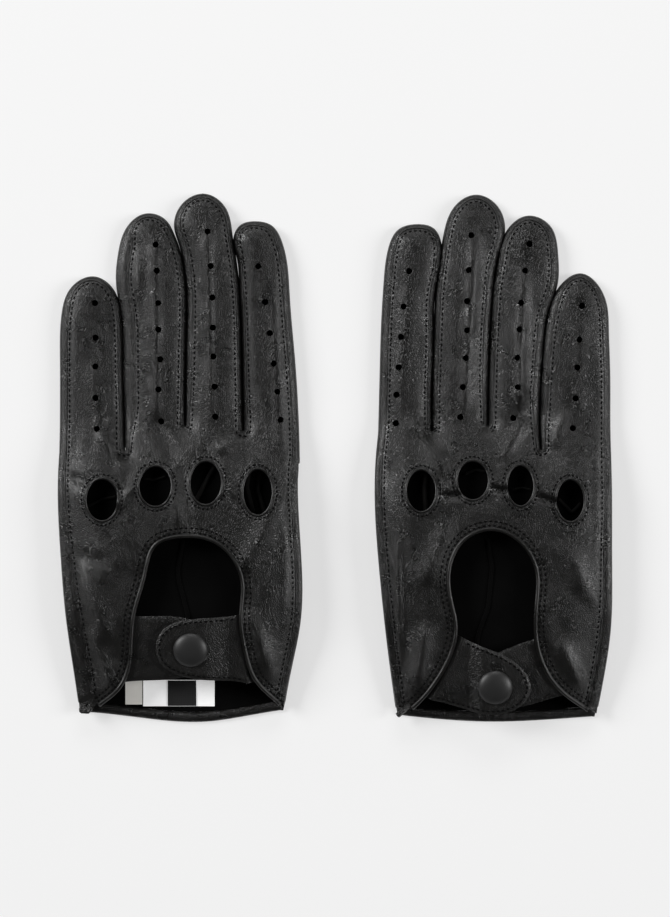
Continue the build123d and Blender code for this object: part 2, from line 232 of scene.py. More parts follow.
def outline_loops(bm):
    """Ordered loops of points round a sheet's free edges, with the leather on their left."""
    loops = []
    edges = {e for e in bm.edges if len(e.link_faces) == 1}
    while edges:
        edge = edges.pop()
        start, vert = edge.verts
        loop = [start.co.copy(), vert.co.copy()]
        while vert != start:
            found = next((e for e in vert.link_edges if e in edges), None)
            if found is None:
                break
            edges.remove(found)
            vert = found.other_vert(vert)
            loop.append(vert.co.copy())
        loops.append(loop)
    area = {id(loop): sum(a.x * b.y - b.x * a.y for a, b in zip(loop, loop[1:])) for loop in loops}
    outer = max(loops, key=lambda loop: abs(area[id(loop)]))
    for loop in loops:
        if (area[id(loop)] > 0) != (loop is outer):
            loop.reverse()
    return loops


def evenly(points, step=FINE):
    """The same line with a point every step."""
    out = []
    left = 0.0
    for a, b in zip(points, points[1:]):
        length = (b - a).length
        while left < length:
            out.append(a.lerp(b, left / length))
            left += step
        left -= length
    if (out[-1] - points[-1]).length > 0.3 * step:
        out.append(points[-1].copy())
    return out


def inset_line(points, distance, reach=3):
    """The line moved to its left by a distance, or by a list of distances, and smoothed."""
    moved = []
    last = len(points) - 1
    ring = (points[0] - points[-1]).length < 1.5 * FINE
    for i, p in enumerate(points):
        before = points[(i - reach) % last] if ring else points[max(0, i - reach)]
        after = points[(i + reach) % last] if ring else points[min(last, i + reach)]
        along_line = (after - before).normalized()
        d = distance[i] if isinstance(distance, list) else distance
        moved.append(p + Vector((-along_line.y, along_line.x, 0)) * d)
    return moved


class Border:
    """Lines that answer how far a point is from them."""

    def __init__(self, runs):
        self.points = []
        self.run_end = set()
        for run in runs:
            self.points += run
            self.run_end.add(len(self.points) - 1)
        self.tree = kdtree.KDTree(len(self.points))
        for i, p in enumerate(self.points):
            self.tree.insert(p, i)
        self.tree.balance()

    def distance(self, x, y):
        """The distance to the nearest border line, and the place of the nearest border point."""
        p = Vector((x, y, 0))
        i, best = self.tree.find(p)[1:]
        for j in (i - 1, i):
            if 0 <= j < len(self.points) - 1 and j not in self.run_end:
                a, b = self.points[j], self.points[j + 1]
                t = max(0.0, min(1.0, (p - a).dot(b - a) / max((b - a).length_squared, 1e-16)))
                best = min(best, (p - a.lerp(b, t)).length)
        return best, i


def smooth(t):
    t = max(0.0, min(1.0, t))
    return t * t * (3 - 2 * t)


def level(y, stops, knee=5.0):
    """A height along the glove from stops of (y, height) in mm, with its corners rounded."""
    total = 0.0
    for shift in (-1.0, -0.5, 0.0, 0.5, 1.0):
        at = min(max(y / MM + shift * knee, stops[0][0]), stops[-1][0])
        for (y0, z0), (y1, z1) in zip(stops, stops[1:]):
            if at <= y1:
                total += z0 + (z1 - z0) * (at - y0) / (y1 - y0)
                break
    return total / 5 * MM


HAND_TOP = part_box("left_back_panel")[1].z / MM
FINGER_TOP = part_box("left_index_back")[1].z / MM
THUMB_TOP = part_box("left_thumb_palm")[1].z / MM
CUFF_TOP = HAND_TOP - 6.0
CUFF_Y = -118.0                 # the cuff, the end of its slope and the longest fingertip, mm
CREST_Y = -66.0
TIP_Y = 118.0
# Levels along the glove in mm: top of the back, underside of the palm, and the fold between them
CROWN = [(CUFF_Y, CUFF_TOP), (CREST_Y, HAND_TOP), (-16.0, HAND_TOP), (16.0, FINGER_TOP),
         (TIP_Y, FINGER_TOP - 0.8)]
PALM = [(CUFF_Y, 0.0), (-97.0, 0.0), (-83.0, THUMB_TOP + 0.6), (0.0, THUMB_TOP + 0.6), (12.0, 0.0),
        (TIP_Y, 0.0)]
FOLD = [(CUFF_Y, 3.4), (-95.0, 7.0), (-72.0, 10.2), (-14.0, 9.8), (18.0, 3.9), (TIP_Y, 3.6)]
# How far in from a finger's edge its back is sewn to the strip, mm: little and index finger sides
SEAMS = {
    "left": {"little": (3.0, 1.3), "ring": (5.4, 1.2), "middle": (2.5, 1.3), "index": (1.3, 2.4)},
    "right": {"little": (2.6, 2.8), "ring": (3.0, 1.8), "middle": (2.6, 1.8), "index": (1.8, 2.8)},
}
PALM_SEAM = {"left": (2.8, 7.0), "right": (2.8, 4.6)}      # the same seam down the hand, top and cuff
CROTCH_SEAM = 1.6
TIP_SEAM = 1.5
INDEX_SEAM = 2.4                  # down the index finger side of the hand
# How many edge points before and after a fingertip, a crotch or a knuckle the seam's inset changes
TIP_START = 24
TIP_MIDDLE = 6
TIP_END = 26
CROTCH_EASE = 30
KNUCKLE_EASE = 20
TIP_WINDOW = 20                   # a fingertip is higher than this many edge points on each side
TIPS_ABOVE = 60 * MM
KNUCKLES = 3 * MM                 # the line of the knuckles
CUFF_BELOW = -100 * MM
FINGERS_APART = 22 * MM           # above this the nearest edge tells which finger a point is on
OUTER_ROOT = {"little": 3.0 * MM, "index": 4.5 * MM}      # where the outer fingers leave the hand
SHOULDER = {"finger": 8.5 * MM, "hand": 15.0 * MM}
STRIP_DROP = 2.1 * MM             # the back's seam lies this far below its crown
SEAM_GROOVE = 0.6 * MM            # the stitches pull the leather in along the seam
SEAM_WIDTH = 0.8 * MM
FOLD_DEPTH = 2.1
FOLD_REACH = 3                    # a fold ends this many half widths from its line
WAVES = [(22 * MM, 0.8, 0.3), (7 * MM, 0.22, 2.1)]      # slack of worn leather: length, mm high, level
ROOT_START = -12.0                # the hand turns into fingers over this stretch, mm
ROOT_LENGTH = 26.0
FOLDS_START = 5 * MM              # folds fade in over this much leather inside the seam
PALM_SHOULDER = 6 * MM
PALM_WAVE = 16 * MM
PALM_WAVE_RISE = 0.9 * MM
PALM_WAVE_START = 8 * MM
ABOVE_FOLD = 0.4 * MM             # the back's edge above the fold line, and the palm's below it
BELOW_FOLD = 1.2 * MM
# Folds: from (u, y) to (u, y) in mm, half width, and height (negative is a crease)
FOLDS = {
    "left": [
        ((-9, 95), (-8, 58), 3.0, 0.8), ((-8, 57), (-8, 20), 2.4, 0.7),
        ((14.5, 100), (15.5, 60), 2.6, 0.8), ((15.5, 60), (16.5, 22), 2.0, 0.5),
        ((-36, 40), (-33, 12), 3.0, 0.4), ((45, 70), (48, 8), 2.6, 0.5),
        ((-32, 10), (-22, -4), 2.6, 0.9), ((-9, 18), (0, 0), 3.0, -0.5), ((20, 4), (36, 12), 3.4, 0.8),
        ((-46, -8), (-22, -16), 2.2, -0.5), ((-25, -20), (-16, -12), 2.2, 0.5),
        ((2, -28), (-2, -8), 2.4, 0.7), ((4, -6), (8, -30), 1.6, -0.4),
        ((32, -48), (48, -20), 5.0, 0.9), ((34, -70), (44, -96), 4.0, 0.9),
        ((-30, -78), (-40, -52), 4.0, 0.7), ((-28, -100), (-36, -78), 3.4, 0.8),
        ((50, -8), (50, -70), 2.2, 0.4), ((21, -2), (27, -16), 2.0, 0.5),
        ((-50, -40), (-30, -46), 3.0, -0.4), ((31, 88), (33, 40), 3.2, 0.7),
        ((-45, 60), (-46, 14), 2.0, 0.3), ((-16, 84), (-20, 40), 2.0, 0.5),
    ],
    "right": [
        ((9.5, 98), (11.5, 60), 3.0, 0.9), ((11.5, 60), (14, 22), 2.2, 0.6),
        ((-13, 82), (-11, 50), 2.8, 0.9), ((-11, 48), (-11, 24), 2.0, 0.8),
        ((-38, 60), (-37, 20), 3.0, 0.5), ((38, 78), (42, 30), 3.4, 0.4),
        ((36, 16), (24, -4), 3.2, 0.9), ((-20, 22), (-10, 30), 3.0, 0.8),
        ((-24, 6), (-32, 20), 2.6, 0.6), ((-12, 16), (-4, 2), 2.6, 0.7),
        ((24, -17), (14, -16), 1.4, -0.9), ((2, -14), (-5, -14), 1.4, -0.9),
        ((-18, -17), (-28, -20), 1.4, -0.9), ((44, -42), (43, -88), 1.8, 0.9),
        ((31, -76), (36, -100), 3.4, 0.9), ((-28, -82), (-38, -100), 3.4, 0.9),
        ((-30, -40), (-44, -64), 4.0, 0.6), ((22, -30), (30, -52), 4.0, 0.7),
        ((-46, 4), (-47, -60), 2.4, 0.4),
    ],
}


class Glove:
    """One glove's borders, which finger a point belongs to, and the height of its leather there."""

    def __init__(self, side):
        self.side = side
        self.middle = -SIGN[side] * CENTRE
        bm = glove_sheet(side, "palm")
        outer = max(outline_loops(bm), key=len)
        bm.free()
        outer = evenly(outer)
        if (outer[0] - outer[-1]).length < 0.6 * FINE:
            outer.pop()
        count = len(outer)
        cuff = [i for i, p in enumerate(outer)
                if p.y < CUFF_BELOW and abs((outer[(i + 2) % count] - outer[i - 2]).y) < 1.2 * FINE]
        gaps = [(i, (j - i) % count) for i, j in zip(cuff, cuff[1:] + cuff[:1])]
        start, length = max(gaps, key=lambda gap: gap[1])
        self.edge = [outer[(start + k) % count] for k in range(length + 1)]
        self.cuff = Border([[outer[i] for i in cuff]])
        self.border = Border([self.edge])
        ys = [p.y for p in self.edge]
        tips = [i for i in range(TIP_WINDOW, len(ys) - TIP_WINDOW)
                if ys[i] > TIPS_ABOVE and ys[i] == max(ys[i - TIP_WINDOW:i + TIP_WINDOW])]
        dips = [min(range(a, b), key=lambda i: ys[i]) for a, b in zip(tips, tips[1:])]
        little_first = (self.edge[0].x - self.middle) * SIGN[side] < 0
        self.order = FINGERS if little_first else FINGERS[::-1]
        self.dips = [self.edge[i] for i in dips]
        self.dip_places = dips
        self.tips = dict(zip(self.order, tips))
        self.insets = self.seam_insets(tips, dips)

    def u(self, x):
        return (x - self.middle) * SIGN[self.side]

    def seam_insets(self, tips, dips):
        """For every point of the edge, how far in the seam of the back lies."""
        near_top, near_cuff = PALM_SEAM[self.side]
        knuckle = min(range(tips[0]), key=lambda i: abs(self.edge[i].y - KNUCKLES))
        knuckle_end = min(range(tips[-1], len(self.edge)), key=lambda i: abs(self.edge[i].y - KNUCKLES))
        stops = []
        for k, finger in enumerate(self.order):
            pair = SEAMS[self.side][finger]
            pair = pair if self.order is FINGERS else pair[::-1]
            if k == 0:
                stops += [(knuckle + KNUCKLE_EASE, pair[0])]
            stops += [(tips[k] - TIP_START, pair[0]), (tips[k] + TIP_MIDDLE, TIP_SEAM),
                      (tips[k] + TIP_END, pair[1])]
            if k < 3:
                after = SEAMS[self.side][self.order[k + 1]]
                after = after if self.order is FINGERS else after[::-1]
                stops += [(dips[k] - CROTCH_EASE, pair[1]), (dips[k], CROTCH_SEAM),
                          (dips[k] + CROTCH_EASE, after[0])]
            else:
                stops += [(knuckle_end - KNUCKLE_EASE, pair[1])]
        low = [(0, near_cuff), (knuckle, near_top)]
        high = [(knuckle_end, INDEX_SEAM), (len(self.edge) - 1, INDEX_SEAM)]
        if self.order is not FINGERS:
            low = [(0, INDEX_SEAM), (knuckle, INDEX_SEAM)]
            high = [(knuckle_end, near_top), (len(self.edge) - 1, near_cuff)]
        stops = low + stops + high
        insets = []
        for i in range(len(self.edge)):
            for (a, v), (b, w) in zip(stops, stops[1:]):
                if a <= i <= b:
                    insets.append((v + (w - v) * smooth((i - a) / max(1, b - a))) * MM)
                    break
            else:
                insets.append(insets[-1] if insets else near_cuff * MM)
        return insets

    def owner(self, x, y):
        """The finger a point belongs to, or the hand below the line from crotch to crotch."""
        ends = [OUTER_ROOT[self.order[0]], OUTER_ROOT[self.order[-1]]]
        line = [Vector((self.edge[self.tips[self.order[0]]].x * 2 - self.dips[0].x, ends[0], 0))]
        line += self.dips
        line += [Vector((self.edge[self.tips[self.order[-1]]].x * 2 - self.dips[-1].x, ends[1], 0))]
        column = 3
        for k, dip in enumerate(self.dips):
            if (x - dip.x) * (line[-1].x - line[0].x) < 0:
                column = k
                break
        a, b = line[column], line[column + 1]
        t = max(0.0, min(1.0, (x - a.x) / (b.x - a.x)))
        if y < a.y + (b.y - a.y) * t:
            return "hand"
        if y > FINGERS_APART:
            place = self.border.distance(x, y)[1]
            column = sum(place > dip for dip in self.dip_places)
        return self.order[column]

    def folds(self, x, y):
        u, v = self.u(x) / MM, y / MM
        height = 0.0
        for (u0, y0), (u1, y1), width, rise in FOLDS[self.side]:
            du, dv = u1 - u0, y1 - y0
            length = math.hypot(du, dv)
            across = abs((u - u0) * dv - (v - y0) * du) / length
            if across > FOLD_REACH * width:
                continue
            t = ((u - u0) * du + (v - y0) * dv) / length ** 2
            if -0.3 < t < 1.3:
                taper = smooth((t + 0.25) / 0.4) * smooth((1.25 - t) / 0.4)
                height += rise * math.exp(-(across / width) ** 2) * taper
        slack = sum(noise.noise(Vector((x, y, z)) / length) * rise for length, rise, z in WAVES)
        return (height * FOLD_DEPTH + slack) * MM

    def top(self, x, y):
        """Height of the outside of the back."""
        crown = level(y, CROWN)
        side = level(y, FOLD) + ABOVE_FOLD
        d, place = self.border.distance(x, y)
        inset = self.insets[place]
        finger = smooth((y / MM - ROOT_START) / ROOT_LENGTH)
        shoulder = SHOULDER["hand"] + (SHOULDER["finger"] - SHOULDER["hand"]) * finger
        seam = crown - STRIP_DROP * (2.0 - finger)
        if d < inset:
            z = side + (seam - side) * math.sin(math.pi / 2 * d / inset)
        else:
            t = min(1.0, (d - inset) / shoulder)
            z = seam + (crown - seam) * math.sin(math.pi / 2 * t)
        groove = SEAM_GROOVE * math.exp(-((d - inset) / SEAM_WIDTH) ** 2)
        return z - groove + self.folds(x, y) * smooth((d - inset) / FOLDS_START)

    def bottom(self, x, y):
        """Height of the outside of the palm."""
        palm = level(y, PALM)
        side = level(y, FOLD) - BELOW_FOLD - LEATHER
        d = self.border.distance(x, y)[0]
        t = min(1.0, d / PALM_SHOULDER)
        wave = max(0.0, noise.noise(Vector((x, y, 5.0)) / PALM_WAVE)) * PALM_WAVE_RISE
        return side + (palm - side) * math.sqrt(1 - (1 - t) ** 2) + wave * smooth(d / PALM_WAVE_START)

    def inside(self, x, y):
        return self.bottom(x, y) + LEATHER


gloves = {side: Glove(side) for side in SIGN}

# ----------------------------------------------------------------------
# Back and finger backs.  One layer of drum-dyed nappa with a fine pressed grain and a matt suede
# flesh side, punched with round perforations; the knuckle holes and the keyhole are cut out.  It is
# sewn to the side strips, and is cut into hand and finger pieces along the line from crotch to crotch.
GRAIN = 0.8 * MM               # one grain cell
PORE = 0.35 * MM
CREASE = 9.0 * MM
NAP = 0.5 * MM                 # the flesh side's raised fibres, their patches and their height
NAP_PATCH = 14 * MM
NAP_HEIGHT = 0.12 * MM


def place_on(material):
    """The point on the object, in metres, that a pattern is laid out by."""
    return add_node(material, "TexCoord").outputs["Object"]


def mottle(material, length, detail, roughness=0.5):
    """A cloudy pattern with patches about a length across."""
    return add_node(material, "TexNoise", {"Scale": 1 / length, "Detail": detail, "Roughness": roughness},
                    Vector=place_on(material)).outputs["Fac"]


def dented(material, height, depth, strength):
    """A surface normal that follows a pattern of heights."""
    return add_node(material, "Bump", {"Strength": strength, "Distance": depth},
                    Height=height).outputs["Normal"]


def two_tone(material, pattern, low, low_at, high, high_at):
    """A colour that turns from one to another as the pattern rises."""
    tone = add_node(material, "ValToRGB", i0=pattern)
    for stop, colour, at in zip(tone.color_ramp.elements, (low, high), (low_at, high_at)):
        stop.color = linear(colour)
        stop.position = at
    return tone.outputs["Color"]


def nappa(name, colour, dark, roughness, grain_height):
    """Finished grain side: cells and pores pressed in, and cloudy patches that are darker and glossier."""
    material = new_material(name)
    cells = add_node(material, "TexVoronoi", {"Scale": 1 / GRAIN, "feature": "DISTANCE_TO_EDGE"},
                     Vector=place_on(material))
    pores = mottle(material, PORE, 3.0, 0.6)
    clouds = mottle(material, CREASE, 5.0, 0.55)
    gloss = add_node(material, "MapRange", {"From Min": 0.25, "From Max": 0.75,
                                            "To Min": roughness - 0.07, "To Max": roughness + 0.09},
                     Value=clouds)
    valley = add_node(material, "MapRange", {"From Min": 0.0, "From Max": 0.18},
                      Value=cells.outputs["Distance"])
    grain = add_node(material, "Math", {"operation": "MULTIPLY_ADD", 1: 0.5},
                     i0=pores, i2=valley.outputs["Result"])
    shader = add_node(material, "BsdfPrincipled", {"IOR": 1.5},
                      Base_Color=two_tone(material, clouds, dark, 0.3, colour, 0.72),
                      Roughness=gloss.outputs["Result"],
                      Normal=dented(material, grain.outputs[0], grain_height, 0.6))
    return finish_material(material, shader)


def suede(name, colour, dark):
    """Flesh side: short raised nap, no gloss, a faint sheen at a low angle."""
    material = new_material(name)
    patches = mottle(material, NAP_PATCH, 3.0)
    shader = add_node(material, "BsdfPrincipled",
                      {"Roughness": 0.95, "Specular IOR Level": 0.08, "Sheen Weight": 0.02},
                      Base_Color=two_tone(material, patches, dark, 0.35, colour, 0.7),
                      Normal=dented(material, mottle(material, NAP, 4.0, 0.7), NAP_HEIGHT, 0.6))
    return finish_material(material, shader)


black_nappa = nappa("black nappa, drum dyed", "131211", "0A0A09", 0.30, 0.12 * MM)
# The flesh side is darker than real black suede: its near-black colour is painted shade inside the gloves.
black_suede_painted_shade = suede("black suede flesh side", "040404", "020202")
CELL = 1.2 * MM                # spacing of the cuts that let the leather drape
CELL_START = 0.37              # where the first cut falls, in cells


def gridded(bm, step):
    """Cuts a flat sheet into square cells and clears the old triangle edges inside them."""
    for axis in (0, 1):
        values = [v.co[axis] for v in bm.verts]
        for i in range(math.ceil(min(values) / step), math.floor(max(values) / step) + 1):
            point = Vector((0, 0, 0))
            point[axis] = (i + CELL_START) * step
            normal = Vector((0, 0, 0))
            normal[axis] = 1.0
            geom = bm.verts[:] + bm.edges[:] + bm.faces[:]
            bmesh.ops.bisect_plane(bm, geom=geom, dist=1e-7, plane_co=point, plane_no=normal)
    stale = []
    for e in bm.edges:
        if len(e.link_faces) == 2:
            a, b = e.verts[0].co, e.verts[1].co
            cells = [(a[k] / step - CELL_START, abs(a[k] - b[k])) for k in (0, 1)]
            if not any(gap < 1e-7 and abs(cell - round(cell)) < 1e-3 for cell, gap in cells):
                stale.append(e)
    bmesh.ops.dissolve_edges(bm, edges=stale, use_verts=False)
    return bm


def draped(bm, height, up=True):
    """Lifts a flat sheet to its height, with its faces looking up, or down."""
    for v in bm.verts:
        v.co.z = height(v.co.x, v.co.y)
    bmesh.ops.recalc_face_normals(bm, faces=bm.faces)
    if (sum(f.normal.z for f in bm.faces) > 0) != up:
        bmesh.ops.reverse_faces(bm, faces=bm.faces)
    return bm


def made(name, bm, materials, body=None):
    """The finished mesh as a piece in the scene, riding on a body if one is named."""
    for f in bm.faces:
        f.smooth = True
    for e in bm.edges:
        e.smooth = len(e.link_faces) > 1
    mesh = bpy.data.meshes.new(name)
    bm.to_mesh(mesh)
    bm.free()
    for m in materials:
        mesh.materials.append(m)
    piece = bpy.data.objects.new(name, mesh)
    bpy.context.scene.collection.objects.link(piece)
    if body:
        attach(piece, body)
    return piece


def thicken(piece, thickness=LEATHER):
    """Gives a sheet its thickness behind its faces; its second material is on the far side."""
    wall = piece.modifiers.new("thickness", "SOLIDIFY")
    wall.thickness = thickness
    wall.offset = -1.0
    wall.material_offset = len(piece.data.materials) - 1
    return wall


def finger_blend(piece):
    """Bakes the piece's placement into its mesh."""
    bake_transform(piece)
    return piece


def subset(bm, keep):
    """A copy of the faces whose centre passes the test."""
    part = bm.copy()
    others = [f for f in part.faces if not keep(f.calc_center_median())]
    bmesh.ops.delete(part, geom=others, context="FACES")
    return part


edges_of_back = {}
for side, glove in gloves.items():
    bm = glove_sheet(side, "back")
    edges_of_back[side] = outline_loops(bm)
    draped(gridded(bm, CELL), glove.top)
    owners = {}
    for f in bm.faces:
        c = f.calc_center_median()
        owners[(c.x, c.y)] = glove.owner(c.x, c.y)
    back = made(f"{side}_back", subset(bm, lambda c: owners[(c.x, c.y)] == "hand"),
                [black_nappa, black_suede_painted_shade], f"{side}_hand")
    thicken(back)
    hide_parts(f"{side}_back_panel", f"{side}_keyhole_facing")
    for finger in FINGERS:
        piece = made(f"{side}_{finger}_top", subset(bm, lambda c: owners[(c.x, c.y)] == finger),
                     [black_nappa, black_suede_painted_shade])
        thicken(piece)
        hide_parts(f"{side}_{finger}_back")
        finger_blend(piece)
    bm.free()

# ----------------------------------------------------------------------
# Palm and finger undersides.  The same nappa, grain side down; its flesh side shows through the
# keyhole and the knuckle holes.
PALM_CELL = 1.8 * MM
for side, glove in gloves.items():
    bm = glove_sheet(side, "palm")
    draped(gridded(bm, PALM_CELL), glove.bottom, up=False)
    owners = {}
    for f in bm.faces:
        c = f.calc_center_median()
        owners[(c.x, c.y)] = glove.owner(c.x, c.y)
    palm = made(f"{side}_palm", subset(bm, lambda c: owners[(c.x, c.y)] == "hand"),
                [black_nappa, black_suede_painted_shade], f"{side}_hand")
    thicken(palm)
    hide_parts(f"{side}_palm_panel")
    for finger in FINGERS:
        piece = made(f"{side}_{finger}_under", subset(bm, lambda c: owners[(c.x, c.y)] == finger),
                     [black_nappa, black_suede_painted_shade])
        thicken(piece)
        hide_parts(f"{side}_{finger}_palm")
        finger_blend(piece)
    bm.free()

# ----------------------------------------------------------------------
# Side strips and seams.  The strip closes each finger's side from the back's edge down to the palm's.
# The back is sewn to it with a narrow welt and a row of stitches just inside.
WELT = 0.42 * MM
# Down the strip from back to palm: share of its height, and how far in from the edge, mm
STRIP_SECTION = [(0.0, 0.35), (0.15, 0.0), (0.35, -0.25), (0.7, -0.25), (0.9, 0.0), (1.0, 0.4)]
STITCH = 2.3 * MM                 # one stitch and the gap after it
THREAD = 0.36 * MM
THREAD_TWIST = 0.9 * MM
STITCH_SHARE = 0.36               # half a stitch's length, as a share of the pitch
STITCH_SPREAD = 1.3               # a stitch is this much wider than it is thick
SEAM_ROW = 1.3 * MM               # the stitches lie this far inside the seam
TURNED = 0.2 * MM                 # the strip's edges are turned this far under back and palm
STRIP_WALL = 0.5 * MM


def thread(name, colour, dark):
    """Bonded nylon thread: two plies twisted together, dull."""
    material = new_material(name)
    twist = add_node(material, "TexWave", {"Scale": 1 / THREAD_TWIST, "Distortion": 0.5},
                     Vector=place_on(material))
    tone = add_node(material, "MixRGB", {"Color1": linear(colour), "Color2": linear(dark)},
                    Fac=twist.outputs["Fac"])
    shader = add_node(material, "BsdfPrincipled", {"Roughness": 0.8, "Specular IOR Level": 0.1},
                      Base_Color=tone.outputs["Color"])
    return finish_material(material, shader)


black_thread = thread("black bonded nylon thread", "070707", "050505")


def tube(bm, line, radius, squash=1.0, closed=False, sides=8):
    """Adds a round welt along a line, flattened by squash."""
    ring = []
    last = len(line) - 1
    for i, p in enumerate(line):
        before = line[i - 1] if i or closed else p
        after = line[(i + 1) % len(line)] if i < last or closed else p
        along_line = (after - before).normalized()
        across = along_line.cross(Vector((0, 0, 1))).normalized()
        up = across.cross(along_line)
        verts = []
        for k in range(sides):
            angle = 2 * math.pi * k / sides
            verts.append(bm.verts.new(p + across * radius * math.cos(angle)
                                      + up * radius * squash * math.sin(angle)))
        ring.append([bm.edges.new((verts[k], verts[(k + 1) % sides])) for k in range(sides)])
    pairs = list(zip(ring, ring[1:])) + ([(ring[-1], ring[0])] if closed else [])
    for a, b in pairs:
        bmesh.ops.bridge_loops(bm, edges=a + b)
    if not closed:
        bmesh.ops.holes_fill(bm, edges=ring[0] + ring[-1], sides=sides)
    bmesh.ops.recalc_face_normals(bm, faces=bm.faces)


def stitches(bm, line, material_index=0, pitch=STITCH):
    """Adds a row of stitches along a line, each a small bead drawn out along the seam."""
    row = evenly(line, pitch)
    for a, b in zip(row, row[1:]):
        way = b - a
        if way.length < 0.5 * pitch:
            continue
        turn = way.to_track_quat("X", "Z").to_matrix().to_4x4()
        shape = Matrix.Diagonal((pitch * STITCH_SHARE, THREAD * STITCH_SPREAD, THREAD, 1))
        place = Matrix.Translation((a + b) / 2) @ turn @ shape
        made_verts = bmesh.ops.create_icosphere(bm, subdivisions=1, radius=1.0, matrix=place)["verts"]
        for f in {f for v in made_verts for f in v.link_faces}:
            f.material_index = material_index


def lifted(line, height, rise=0.0):
    """A plan line raised to the leather's surface."""
    return [Vector((p.x, p.y, height(p.x, p.y) + rise)) for p in line]


def runs_by(line, key):
    """The line cut where the key of its points changes, as (key, points)."""
    out = []
    for p in line:
        k = key(p)
        if out and out[-1][0] == k:
            out[-1][1].append(p)
        else:
            if out:
                out[-1][1].append(p)
            out.append((k, [p]))
    return [(k, run) for k, run in out if len(run) > 3]


def side_strip(bm, glove, line):
    """Adds the strip that hangs from the back's edge to the palm's along a border line."""
    rows = []
    for drop, offset in STRIP_SECTION:
        row = []
        for p in inset_line(line, offset * MM):
            high = glove.top(p.x, p.y) - TURNED
            low = glove.bottom(p.x, p.y) + TURNED
            row.append(bm.verts.new((p.x, p.y, high + (low - high) * drop)))
        rows.append([bm.edges.new(pair) for pair in zip(row, row[1:])])
    for a, b in zip(rows, rows[1:]):
        bmesh.ops.bridge_loops(bm, edges=a + b)


for side, glove in gloves.items():
    strips = {name: bmesh.new() for name in FINGERS + ["hand"]}
    seams = {name: bmesh.new() for name in FINGERS + ["hand"]}
    for name, run in runs_by(glove.edge, lambda p: glove.owner(p.x, p.y)):
        side_strip(strips[name], glove, run)
    seam = inset_line(glove.edge, glove.insets)
    row = inset_line(glove.edge, [i + SEAM_ROW for i in glove.insets])
    for name, run in runs_by(seam, lambda p: glove.owner(p.x, p.y)):
        tube(seams[name], lifted(run, glove.top), WELT)
    for name, run in runs_by(row, lambda p: glove.owner(p.x, p.y)):
        stitches(seams[name], lifted(run, glove.top), 1)
    for name in strips:
        body = f"{side}_hand" if name == "hand" else None
        bmesh.ops.recalc_face_normals(strips[name], faces=strips[name].faces)
        strip = made(f"{side}_{name}_strip", strips[name], [black_nappa, black_suede_painted_shade],
                     body)
        wall = thicken(strip, STRIP_WALL)
        wall.offset = 0.0
        seam_piece = made(f"{side}_{name}_seam", seams[name], [black_nappa, black_thread],
                          body)
        if name != "hand":
            finger_blend(strip)
            finger_blend(seam_piece)
            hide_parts(f"{side}_{name}_fourchette")

# ----------------------------------------------------------------------
# Edges of the back.  The keyhole is bound with a rolled strip of nappa and sewn twice; each knuckle
# hole has a turned edge and one ring of stitches; the cuff is turned under and sewn.
BINDING = 0.95 * MM
RIM = 0.62 * MM
HEM = 0.8 * MM
# A perforation's edge is shorter than the first of these, and a knuckle hole's than the second
PERFORATION_ROUND = 20 * MM
KNUCKLE_ROUND = 70 * MM
# Centre of each rolled edge: how far in from the cut (negative is into the opening), and its height
# over the leather
RIM_AT = (-0.6 * MM, -0.42 * MM)
BINDING_AT = (-0.9 * MM, -0.3 * MM)
HEM_AT = (0.5 * MM, -0.4 * MM)
RIM_STITCH = 2.0 * MM             # the knuckle holes are sewn a little finer
# Rows of stitches: how far in from the edge
RIM_ROW = 1.2 * MM
BINDING_ROWS = (0.7 * MM, 2.6 * MM)
HEM_ROW = 3.2 * MM
PROUD = 0.05 * MM                 # stitches stand this far above the leather
TOUCHING = 0.3 * MM               # points nearer than this are on the same line
BINDING_SQUASH = 0.85
# Points in a run along the edge; a shorter one turns a corner of the cuff and is hemmed with it
SHORT_RUN = 40
SHORTEST_HEM = 12
HEM_TRIM = 3                      # points left out at each end of a hem

black_binding = nappa("black nappa binding, rolled", "151413", "0C0C0B", 0.32, 0.06 * MM)

for side, glove in gloves.items():
    binding = bmesh.new()
    rims = bmesh.new()
    hem = bmesh.new()
    for loop in edges_of_back[side]:
        length = sum((b - a).length for a, b in zip(loop, loop[1:]))
        if length < PERFORATION_ROUND:
            continue
        line = evenly(loop)
        if (line[0] - line[-1]).length < 0.6 * FINE:
            line.pop()
        if length < KNUCKLE_ROUND:
            tube(rims, lifted(inset_line(line, RIM_AT[0]), glove.top, RIM_AT[1]), RIM, closed=True)
            stitches(rims, lifted(inset_line(line, RIM_ROW), glove.top), 1, RIM_STITCH)
            continue

        def kind(p):
            if glove.border.distance(p.x, p.y)[0] < TOUCHING:
                return "outside"
            if glove.cuff.distance(p.x, p.y)[0] < TOUCHING:
                return "cuff"
            return "keyhole"

        turn = next(i for i, p in enumerate(line) if kind(p) == "outside" and p.y > TIPS_ABOVE)
        line = line[turn:] + line[:turn]
        for k, run in runs_by(line, kind):
            if k == "keyhole" and len(run) < SHORT_RUN:
                k = "cuff"
            if k == "keyhole":
                rolled = lifted(inset_line(run, BINDING_AT[0]), glove.top, BINDING_AT[1])
                tube(binding, rolled, BINDING, BINDING_SQUASH)
                for row in BINDING_ROWS:
                    stitches(binding, lifted(inset_line(run, row), glove.top, PROUD), 1)
            elif k == "cuff" and len(run) > SHORTEST_HEM:
                run = run[HEM_TRIM:-HEM_TRIM]
                tube(hem, lifted(inset_line(run, HEM_AT[0]), glove.top, HEM_AT[1]), HEM)
                stitches(hem, lifted(inset_line(run, HEM_ROW), glove.top, PROUD), 1)
    piece = made(f"{side}_binding", binding, [black_binding, black_thread], f"{side}_hand")
    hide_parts(f"{side}_keyhole_binding")
    piece = made(f"{side}_rims", rims, [black_binding, black_thread], f"{side}_hand")
    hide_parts(f"{side}_knuckle_rims")
    made(f"{side}_cuff", hem, [black_nappa, black_thread], f"{side}_hand")

